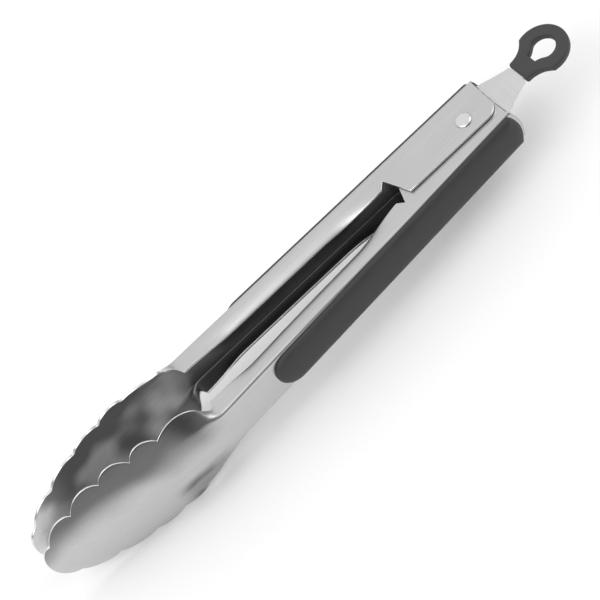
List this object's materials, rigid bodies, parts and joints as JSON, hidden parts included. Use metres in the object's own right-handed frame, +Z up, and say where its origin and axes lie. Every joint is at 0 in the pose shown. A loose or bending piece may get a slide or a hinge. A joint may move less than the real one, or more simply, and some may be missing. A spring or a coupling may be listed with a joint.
{
  "type": "locking kitchen tongs",
  "caption": "Spring loaded kitchen tongs with scalloped spoon heads, soft grips on the arms' backs and a pull tab lock with a hang loop, shown locked.",
  "frame": {"origin": "middle of the footprint of the tongs lying on their side, with the heads' lowest scallops at Z = 0, in the locked pose", "axes": "+X along the tongs from the head tips to the hang loop, +Y from the lower arm to the upper arm, +Z up along the pivot rivet"},
  "size_m": [0.2652, 0.0376, 0.0488],
  "materials": {
    "arm_steel": "stainless sheet, fine brushing along the arms",
    "grip_rubber": "charcoal soft moulded grip, matte",
    "rivet_steel": "polished low domed rivet head",
    "spring_steel": "drawn spring wire",
    "plate_steel": "stainless sheet, satin with fine grain",
    "loop_plastic": "charcoal matte moulding"
  },
  "bodies": {
    "upper_arm_body": {"upper_arm": "arm_steel", "upper_grip": "grip_rubber", "pivot_rivet": "rivet_steel"},
    "lower_arm_body": {"lower_arm": "arm_steel", "lower_grip": "grip_rubber"},
    "spring_body": {"torsion_spring": "spring_steel"},
    "lock_body": {"lock_plate": "plate_steel", "hang_loop": "loop_plastic"}
  },
  "joints": [
    {"name": "arm_hinge", "type": "hinge", "parent": "upper_arm_body", "child": "lower_arm_body", "pos_m": [0.08431, 0, 0.0244], "axis": [0, 0, 1], "range_deg": [-1.7, 20.5], "stiffness_Nm_per_rad": 0.6, "springref_deg": 49.85, "deforming": ["torsion_spring"]},
    {"name": "spring_swing", "type": "hinge", "parent": "upper_arm_body", "child": "spring_body", "pos_m": [0.08431, 0, 0.0244], "axis": [0, 0, 1], "range_deg": [-0.9, 10.3]},
    {"name": "lock_slide", "type": "slide", "parent": "spring_body", "child": "lock_body", "axis": [1, 0, 0], "range_m": [-0.0089, 0.0008]}
  ],
  "couplings": [
    {"joint": "spring_swing", "follows": "arm_hinge", "ratio": 0.5},
    {"joint": "lock_slide", "follows": "arm_hinge", "m_per_rad": -0.0246}
  ]
}
